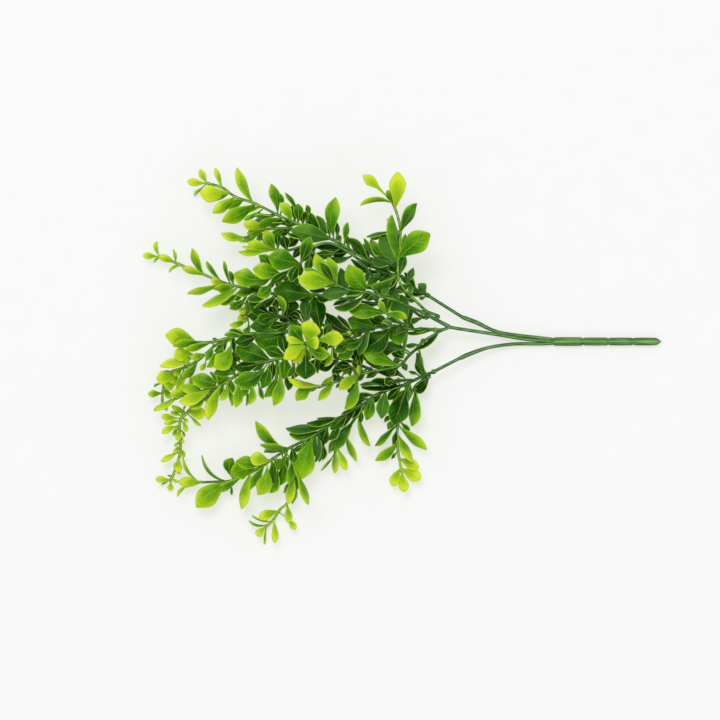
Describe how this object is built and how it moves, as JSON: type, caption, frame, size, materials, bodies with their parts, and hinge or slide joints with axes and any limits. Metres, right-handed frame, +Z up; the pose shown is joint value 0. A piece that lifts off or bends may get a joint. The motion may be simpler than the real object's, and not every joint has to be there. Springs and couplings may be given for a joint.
{
  "type": "artificial mistletoe bunch",
  "caption": "Artificial leafy mistletoe bunch without berries: a notched moulded stalk fans into forked stems that carry glossy obovate-leaved sprays, lying on its side.",
  "frame": {"origin": "middle of the bunch's box, on the surface that it lies on", "axes": "+X from the leafy end towards the stalk's pointed end, +Y across the fan of sprays, +Z up from the surface"},
  "size_m": [0.3508, 0.2542, 0.0754],
  "materials": {
    "stalk": "satin moulded green plastic",
    "foliage": "glossy deep to mid green leaves with a lighter rim and midrib",
    "young_foliage": "glossy lime green young leaves"
  },
  "bodies": {
    "root": {"stalk": "stalk", "spray_top_long": "foliage", "spray_top_side": "foliage", "spray_crown_left": "foliage", "spray_crown_side": "foliage", "spray_upright": "foliage", "spray_bright_top": "young_foliage", "spray_middle_long": "foliage", "twig_middle_hanging": "young_foliage", "spray_inner_main": "foliage", "spray_inner_small": "foliage", "spray_inner_left": "foliage", "rosette_top": "young_foliage", "spray_left": "foliage", "spray_left_drooping": "young_foliage", "spray_lower_left": "foliage", "spray_hanging_left": "young_foliage", "spray_lower_inner": "foliage", "spray_lower_long": "foliage", "spray_lower_right": "foliage", "spray_lower_side": "foliage", "spray_lower_tail": "young_foliage", "under_centre": "foliage", "under_left": "foliage"}
  },
  "joints": []
}
